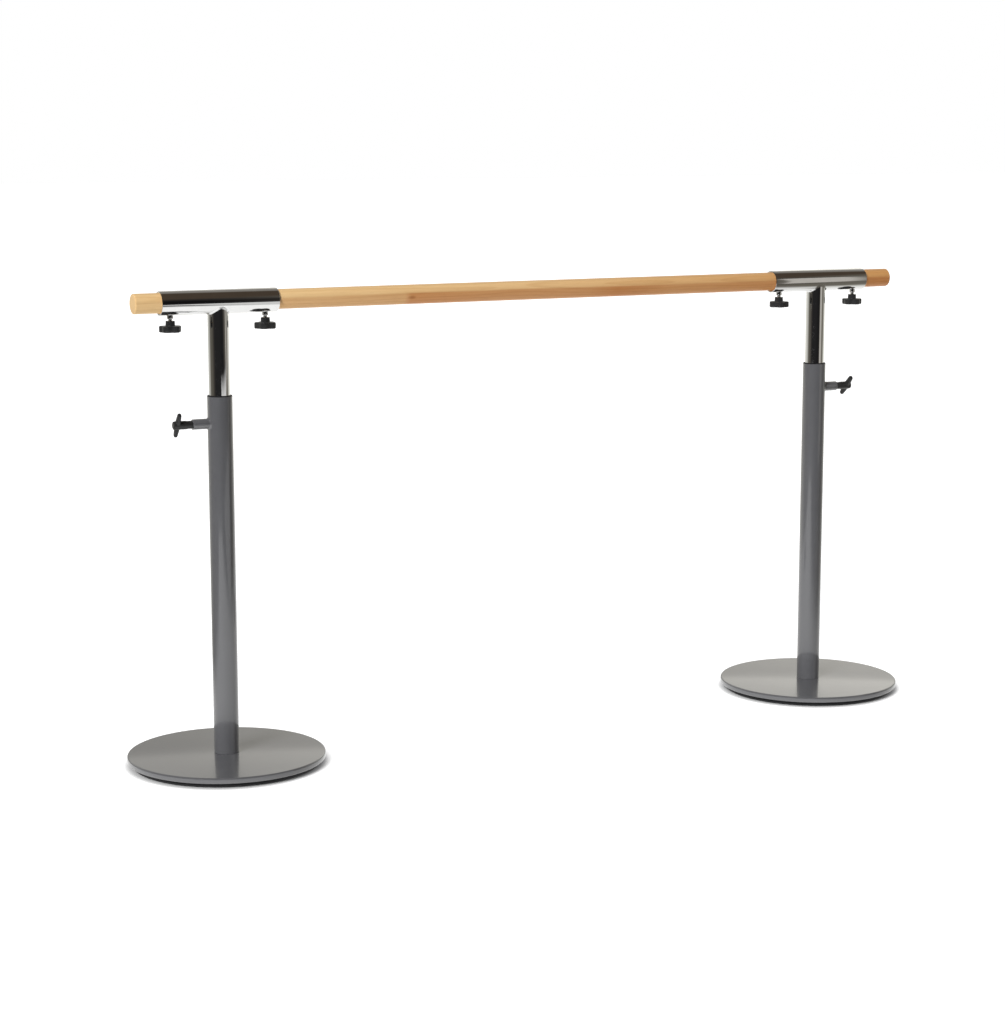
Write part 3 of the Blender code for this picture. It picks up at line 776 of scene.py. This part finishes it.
def make_sleeve(side):
    """Sleeve with the holes of its two clamps."""
    node = side + "_sleeve"
    size = extent(node)
    half, radius = size.x / 2, size.y / 2
    bore = radius - SLEEVE_WALL
    corners = [(bore, -half, SLEEVE_EDGE), (radius, -half, SLEEVE_EDGE), (radius, half, SLEEVE_EDGE),
               (bore, half, SLEEVE_EDGE)]
    sleeve = piece(side + "_chrome_sleeve", turned(corners, TUBE_SEGMENTS), "chrome",
                   side + "_upright", middle(node), along_x(1), [node])
    for where in ("outer", "inner"):
        pad = side + "_" + where + "_clamp_pad"
        hole = extent(pad).x / 2 + SOCKET_CLEARANCE
        cut(sleeve, rod(hole, -2 * radius, 0, SCREW_SEGMENTS), (middle(pad).x, 0, middle(node).z))


def make_inner_post(side):
    """Inner post, coped to the sleeve and welded to it."""
    node, body = side + "_inner_post", side + "_upright"
    sleeve_radius = extent(side + "_sleeve").y / 2
    axis = Vector((middle(node).x, 0, middle(side + "_sleeve").z))
    foot, radius, _ = upright_size(node)
    mesh = coped_tube(radius, radius - INNER_POST_WALL, foot.z - axis.z, sleeve_radius,
                      INNER_POST_EDGE, TUBE_SEGMENTS)
    piece(side + "_chrome_post", mesh, "chrome", body, axis, replaces=[node])
    bead = weld_bead(radius, sleeve_radius, POST_WELD_LEG, TUBE_SEGMENTS)
    piece(side + "_post_weld", bead, "chrome", body, axis)


def make_outer_post(side):
    """Outer post with the hole of its lock screw."""
    node, pad = side + "_outer_post", side + "_lock_pad"
    foot, radius, height = upright_size(node)
    bore = radius - OUTER_POST_WALL
    corners = [(bore, 0, 0), (radius, 0, OUTER_POST_EDGE), (radius, height, OUTER_POST_EDGE),
               (bore, height, 0)]
    post = piece(side + "_painted_post", turned(corners, TUBE_SEGMENTS), "paint", side + "_stand",
                 foot, replaces=[node])
    hole = extent(pad).z / 2 + SOCKET_CLEARANCE
    mesh = rod(hole, 0, 2 * radius, BOSS_SEGMENTS)
    cut(post, mesh, (foot.x, 0, middle(pad).z), along_x(SIDES[side]))


def make_guide_bush(side):
    """Lining of the outer post, with a lip on its top end."""
    node, post = side + "_guide_bush", side + "_outer_post"
    foot, lip, height = upright_size(node)
    bore = extent(side + "_inner_post").x / 2 + SEAT_GAP
    body = extent(post).x / 2 - OUTER_POST_WALL - SEAT_GAP
    lip_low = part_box(post)[1].z + SEAT_GAP - foot.z
    corners = [(bore, 0, 0), (body, 0, 0), (body, lip_low, 0), (lip, lip_low, 0),
               (lip, height, BUSH_EDGE), (bore, height, BUSH_EDGE)]
    piece(side + "_bush", turned(corners, TUBE_SEGMENTS), "nylon", side + "_stand", foot,
          replaces=[node])


def make_base(side):
    """Round plate with a rounded edge, the bolt's hole and the recess for its head."""
    node = side + "_base_plate"
    foot, radius, height = upright_size(node)
    washer = extent(side + "_base_washer").x / 2
    hole = washer * BOLT_HOLE_SHARE
    recess = washer + RECESS_CLEARANCE
    corners = [(hole, RECESS_DEPTH, 0), (recess, RECESS_DEPTH, 0), (recess, 0, RECESS_EDGE),
               (radius, 0, PLATE_BOTTOM_ROUND), (radius, height, PLATE_TOP_ROUND), (hole, height, 0)]
    piece(side + "_painted_plate", turned(corners, PLATE_SEGMENTS), "paint", side + "_stand", foot,
          replaces=[node])


def make_foot_ring(side):
    """Ring under the plate, with a shallow groove round it."""
    node = side + "_foot_ring"
    foot, outer, height = upright_size(node)
    inner, groove = outer - RING_WIDTH, outer - GROOVE_DEPTH
    start, floor_start, floor_end, end = (share * height for share in GROOVE_SHARES)
    corners = [(inner, height, 0), (inner, 0, RING_EDGE), (outer, 0, RING_EDGE), (outer, start, 0),
               (groove, floor_start, 0), (groove, floor_end, 0), (outer, end, 0), (outer, height, 0)]
    piece(side + "_rubber_ring", turned(corners, PLATE_SEGMENTS), "rubber", side + "_stand", foot,
          replaces=[node])


def make_lock(side):
    """Welded boss that points outwards from the outer post, its screw and its wing knob."""
    outward, stand = SIDES[side], side + "_stand"
    boss, pad, screw = (side + part for part in ("_lock_boss", "_lock_pad", "_lock_screw"))
    post_radius = extent(side + "_outer_post").x / 2
    axis = Vector((middle(side + "_outer_post").x, 0, middle(boss).z))
    low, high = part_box(boss)
    reach = (high.x if outward > 0 else -low.x) - outward * axis.x
    radius = (high.z - low.z) / 2
    screw_radius = extent(pad).z / 2
    turn = along_x(-outward) @ Matrix.Rotation(math.pi, 3, "Z")
    mesh = coped_tube(radius, screw_radius + SOCKET_CLEARANCE, -reach, post_radius + SEAT_GAP,
                      LOCK_BOSS_EDGE, BOSS_SEGMENTS)
    piece(side + "_painted_boss", mesh, "paint", stand, axis, turn, [boss])
    bead = weld_bead(radius, post_radius, LOCK_WELD_LEG, BOSS_SEGMENTS)
    piece(side + "_boss_weld", bead, "paint", stand, axis, turn)
    low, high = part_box(screw)
    start = Vector((low.x if outward > 0 else high.x, 0, axis.z))
    mesh = threaded_rod(screw_radius, LOCK_PITCH, high.x - low.x, SCREW_SEGMENTS)
    piece(side + "_threaded_lock_screw", mesh, "chrome", side + "_lock_knob", start,
          along_x(outward), [screw])
    make_wing_knob(side, outward, axis.z)


def make_wing_knob(side, outward, height):
    """Wing knob with its neck, its socket and the brass insert in the neck's end."""
    node = side + "_lock_knob"
    low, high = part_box(node)
    start = Vector((low.x if outward > 0 else high.x, 0, height))
    turn = Matrix.Rotation(math.radians(WING_TURN[side]), 3, "X") @ along_x(outward)
    boss_low, boss_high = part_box(side + "_lock_boss")
    neck = abs(start.x - (boss_high.x if outward > 0 else boss_low.x)) - WING_NECK_GAP
    both = wings()
    data = bpy.data.meshes.new("wings")
    both.to_mesh(data)
    both.free()
    mesh = wing_hub(neck)
    mesh.from_mesh(data)
    bpy.data.meshes.remove(data)
    knob = piece(side + "_wing_knob", mesh, "plastic", node, start, turn, [node])
    remesh = knob.modifiers.new("remesh", "REMESH")
    remesh.mode = "VOXEL"
    remesh.voxel_size = WING_VOXEL
    relax = knob.modifiers.new("relax", "SMOOTH")
    relax.factor = WING_RELAX
    relax.iterations = WING_RELAX_STEPS
    apply_modifiers(knob)
    socket = extent(side + "_lock_pad").z / 2 + SOCKET_CLEARANCE
    insert, depth = socket + INSERT_WALL, INSERT_DEPTH - SEAT_GAP
    cut(knob, rod(socket, -2 * neck, WING_HUB_LENGTH - WING_END_WALL, SCREW_SEGMENTS), start, turn)
    cut(knob, rod(insert + SEAT_GAP, -2 * neck, INSERT_DEPTH - neck, SCREW_SEGMENTS), start, turn)
    corners = [(socket, 0, 0), (insert, 0, INSERT_EDGE), (insert, depth, 0), (socket, depth, 0)]
    seat = start - outward * neck * Vector((1, 0, 0))
    piece(side + "_wing_insert", turned(corners, SCREW_SEGMENTS), "brass", node, seat, turn)


def make_clamp(side, where):
    """Welded boss under the sleeve, the screw in it, and its star knob with a brass insert."""
    name, upright = side + "_" + where, side + "_upright"
    boss, pad, screw, knob = (name + "_clamp_" + part for part in ("boss", "pad", "screw", "knob"))
    sleeve_radius = extent(side + "_sleeve").y / 2
    axis = Vector((middle(pad).x, 0, middle(side + "_sleeve").z))
    foot, radius, _ = upright_size(boss)
    screw_radius = extent(pad).x / 2
    bore = screw_radius + SOCKET_CLEARANCE
    mesh = coped_tube(radius, bore, foot.z - axis.z, sleeve_radius + SEAT_GAP, CLAMP_BOSS_EDGE,
                      BOSS_SEGMENTS)
    piece(name + "_chrome_boss", mesh, "chrome", upright, axis, replaces=[boss])
    bead = weld_bead(radius, sleeve_radius, CLAMP_WELD_LEG, BOSS_SEGMENTS)
    piece(name + "_boss_weld", bead, "chrome", upright, axis)
    low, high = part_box(screw)
    mesh = threaded_rod(screw_radius, CLAMP_PITCH, high.z - low.z, SCREW_SEGMENTS)
    piece(name + "_threaded_screw", mesh, "chrome", knob, (axis.x, 0, low.z), replaces=[screw])
    place = Vector((axis.x, 0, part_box(knob)[1].z))
    turn = Matrix.Rotation(math.radians(STAR_TURN[name]), 3, "Z")
    piece(name + "_star_knob", star_knob(), "plastic", knob, place, turn, [knob])
    insert, bottom = bore + INSERT_WALL, -INSERT_DEPTH + SEAT_GAP
    corners = [(bore, bottom, 0), (insert, bottom, 0), (insert, 0, INSERT_EDGE), (bore, 0, INSERT_EDGE)]
    piece(name + "_knob_insert", turned(corners, BOSS_SEGMENTS), "brass", knob, place)


def dress_hidden_nodes(side):
    """Finish the pieces whose CAD shape is right: pads, bolts, washers, plugs and glides."""
    finishes = {"_lock_pad": "brass", "_outer_clamp_pad": "brass", "_inner_clamp_pad": "brass",
                "_base_bolt": "steel", "_base_washer": "steel", "_post_plug": "steel",
                "_bottom_glide": "nylon"}
    for node, finish in finishes.items():
        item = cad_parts[side + node]
        item.data.materials.clear()
        item.data.materials.append(FINISHES[finish])


# Studio


class Stage(Nodes):
    """Nodes of the floor, a card or the world, with what depends on the ray that looks."""

    def __init__(self, owner):
        owner.use_nodes = True
        super().__init__(owner.node_tree)
        self.tree.nodes.clear()
        self.path = self.node("ShaderNodeLightPath").outputs

    def spread(self, value, low, high, low_result=0.0, high_result=1.0):
        """Map a value between two limits, held at the ends."""
        made = self.node("ShaderNodeMapRange")
        for socket, setting in zip(made.inputs, (value, low, high, low_result, high_result)):
            self.set(socket, setting)
        return made.outputs["Result"]

    def light(self, kind, color, strength=1.0):
        """Output of an emission or background node."""
        made = self.node(kind)
        self.set(made.inputs["Color"], color)
        self.set(made.inputs["Strength"], strength)
        return made.outputs[0]

    def choose(self, factor, first, second):
        """The first shader where the factor is 0, the second where it is 1."""
        made = self.node("ShaderNodeMixShader")
        for socket, value in zip(made.inputs, (factor, first, second)):
            self.link(value, socket)
        return made.outputs["Shader"]

    def end(self, shader, kind="ShaderNodeOutputMaterial"):
        self.link(shader, self.node(kind).inputs["Surface"])

    def room(self, direction):
        """Colour mirrored from a direction: dark in front, pale behind, dim overhead."""
        x, _, z = self.separate(direction)
        half = self.spread(self.vector("DOT_PRODUCT", direction, FRONT), -1.0, 1.0)
        aside = self.ramp(self.spread(x, -1.0, 1.0), ROOM_ASIDE)
        walls = self.vector("MULTIPLY", self.ramp(half, ROOM_TONES), aside)
        return self.mix(self.ramp(z, CEILING_START), walls, self.ramp(half, CEILING_TONES))


def stage_piece(name, mesh, material):
    """Make an object of a bmesh that belongs to the studio."""
    item = make_object(name, mesh)
    item.data.materials.append(material)
    return item


def make_floor():
    """White floor that takes the object's shadow; what mirrors it sees paper and a room."""
    material = bpy.data.materials.new("floor")
    s = Stage(material)
    place = s.node("ShaderNodeTexCoord").outputs["Object"]
    x, y, _ = s.separate(place)
    diffuse = s.node("ShaderNodeBsdfDiffuse")
    s.set(diffuse.inputs["Color"], FLOOR_TONE)
    contact = s.node("ShaderNodeAmbientOcclusion", samples=CONTACT_SAMPLES)
    contact.inputs["Distance"].default_value = CONTACT_REACH
    open_sky = s.math("POWER", contact.outputs["AO"], CONTACT_POWER)
    glow = s.math("MULTIPLY", s.math("MULTIPLY", open_sky, FLOOR_GLOW), s.path["Is Camera Ray"])
    seen = s.node("ShaderNodeAddShader")
    s.link(diffuse.outputs["BSDF"], seen.inputs[0])
    s.link(s.light("ShaderNodeEmission", WHITE, glow), seen.inputs[1])
    ahead = s.spread(s.vector("LENGTH", place), *PAPER_AHEAD)
    aside = s.spread(s.math("SUBTRACT", s.math("MULTIPLY", x, PAPER_SLANT), y), *PAPER_ASIDE)
    left = s.spread(s.math("SUBTRACT", y, x), *PAPER_LEFT)
    past = s.math("MAXIMUM", s.math("MAXIMUM", ahead, aside), left)
    paper = s.mix(past, PAPER_TONE, s.room(s.vector("NORMALIZE", place)))
    mirrored = s.light("ShaderNodeEmission", paper)
    s.end(s.choose(s.path["Is Glossy Ray"], seen.outputs["Shader"], mirrored))
    mesh = bmesh.new()
    bmesh.ops.create_grid(mesh, x_segments=1, y_segments=1, size=FLOOR_HALF)
    stage_piece("floor", mesh, material).location.z = -FLOOR_DROP


def make_card(name, start, end, low, tops, tones, fade):
    """Upright card that only mirroring surfaces see, and only from its front."""
    material = bpy.data.materials.new(name)
    s = Stage(material)
    share, _, height = s.separate(s.node("ShaderNodeTexCoord").outputs["Object"])
    below = s.math("SUBTRACT", s.spread(share, 0.0, 1.0, *tops), height)
    strength = s.spread(below, 0.0, fade, CARD_TOP_GLOW, 1.0)
    glow = s.light("ShaderNodeEmission", s.ramp(share, tones), strength)
    back = s.node("ShaderNodeNewGeometry").outputs["Backfacing"]
    s.end(s.choose(back, glow, s.node("ShaderNodeBsdfTransparent").outputs["BSDF"]))
    mesh = bmesh.new()
    corners = [(0, 0, low), (1, 0, low), (1, 0, tops[1]), (0, 0, tops[0])]
    mesh.faces.new([mesh.verts.new(point) for point in corners])
    card = stage_piece(name, mesh, material)
    run = Vector(end) - Vector(start)
    turn = Matrix.Rotation(math.atan2(run.y, run.x), 4, "Z")
    card.matrix_world = Matrix.Translation((*start, 0)) @ turn @ Matrix.Diagonal((run.length, 1, 1, 1))
    card.visible_camera = False
    card.visible_diffuse = False
    card.visible_shadow = False
    card.visible_transmission = False


def make_world():
    """White for the camera, an even level for soft light, and a room for what mirrors it."""
    world = bpy.data.worlds.new("studio")
    bpy.context.scene.world = world
    s = Stage(world)
    direction = s.node("ShaderNodeTexCoord").outputs["Generated"]
    x, _, z = s.separate(direction)
    band = s.ramp(s.math("ADD", z, s.math("MULTIPLY", x, BAND_SLOPE)), BAND_TONES)
    room = s.light("ShaderNodeBackground", s.mix(1.0, s.room(direction), band, "MULTIPLY"))
    plain = s.light("ShaderNodeBackground", WHITE, WORLD_LEVEL)
    white = s.light("ShaderNodeBackground", WHITE)
    lighting = s.choose(s.path["Is Glossy Ray"], plain, room)
    s.end(s.choose(s.path["Is Camera Ray"], lighting, white), "ShaderNodeOutputWorld")


def make_light(name, source, power, shadow=True):
    """Broad soft light from a direction, which no surface mirrors."""
    light = bpy.data.lights.new(name, "SUN")
    light.energy = power
    light.angle = LIGHT_ANGLE
    light.use_shadow = shadow
    item = bpy.data.objects.new(name, light)
    bpy.context.scene.collection.objects.link(item)
    item.rotation_euler = Vector(source).to_track_quat("Z", "Y").to_euler()
    item.visible_glossy = False


def make_camera():
    """Camera with the photograph's view."""
    camera = bpy.data.cameras.new("camera")
    camera.lens = CAMERA_LENS
    camera.sensor_width = CAMERA_SENSOR
    item = bpy.data.objects.new("camera", camera)
    bpy.context.scene.collection.objects.link(item)
    item.location = CAMERA_PLACE
    yaw = Matrix.Rotation(math.radians(CAMERA_YAW), 4, "Z")
    tilt = Matrix.Rotation(math.radians(CAMERA_TILT), 4, "X")
    roll = Matrix.Rotation(math.radians(CAMERA_ROLL), 4, "Z")
    item.rotation_euler = (yaw @ tilt @ roll).to_euler()
    bpy.context.scene.camera = item


make_camera()
make_floor()
make_world()
make_light("key", KEY_FROM, KEY_POWER)
make_light("bounce", BOUNCE_FROM, BOUNCE_POWER, shadow=False)
make_card("side_card", *SIDE_CARD, SIDE_TONES, SIDE_FADE)
make_card("low_card", *LOW_CARD, LOW_TONES, LOW_FADE)
bpy.context.scene.view_settings.view_transform = "Standard"
make_barre()
for side_name in SIDES:
    make_sleeve(side_name)
    make_inner_post(side_name)
    make_outer_post(side_name)
    make_guide_bush(side_name)
    make_base(side_name)
    make_foot_ring(side_name)
    make_lock(side_name)
    make_clamp(side_name, "outer")
    make_clamp(side_name, "inner")
    dress_hidden_nodes(side_name)
